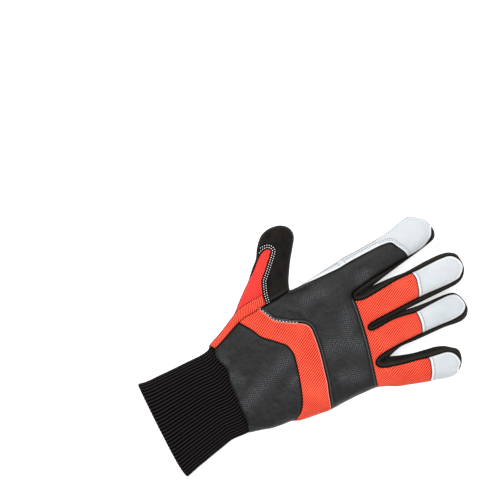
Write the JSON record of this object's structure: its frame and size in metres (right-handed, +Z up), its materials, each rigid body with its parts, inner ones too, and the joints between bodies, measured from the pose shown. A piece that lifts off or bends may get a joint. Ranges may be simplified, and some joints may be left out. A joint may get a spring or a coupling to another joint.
{
  "type": "chainsaw glove",
  "caption": "Protective work glove for the right hand, lying palm down: quilted leather palm, panelled back, strips between the fingers and a knitted ribbed cuff.",
  "frame": {"origin": "middle of the palm's flat underside, which is the face it rests on", "axes": "+Z up out of the back of the hand, +Y along the middle finger, +X towards the little finger"},
  "size_m": [0.1883, 0.3, 0.0255],
  "materials": {
    "black_leather": "matt pebble grain",
    "white_leather": "smooth, slightly glossy",
    "red_fabric": "fine diagonal rib weave",
    "dark_textile": "matt dense textile",
    "dark_knit": "rib knit",
    "white_thread": "sewing thread",
    "grey_thread": "sewing thread"
  },
  "bodies": {
    "root": {"cuff": "dark_knit", "back_wrist_panel": "black_leather", "back_chevron_band": "red_fabric", "back_knuckle_panel": "black_leather", "back_fingers_panel": "red_fabric", "index_tip_cap": "white_leather", "middle_tip_cap": "white_leather", "ring_tip_cap": "white_leather", "little_tip_cap": "white_leather", "fourchette_index_middle": "dark_textile", "fourchette_middle_ring": "dark_textile", "fourchette_ring_little": "dark_textile", "thumb_back": "dark_textile", "thumb_gusset": "red_fabric", "thumb_strap": "red_fabric", "palm_leather": "white_leather", "palm_patch": "white_leather", "thumb_palm": "white_leather"}
  },
  "joints": []
}
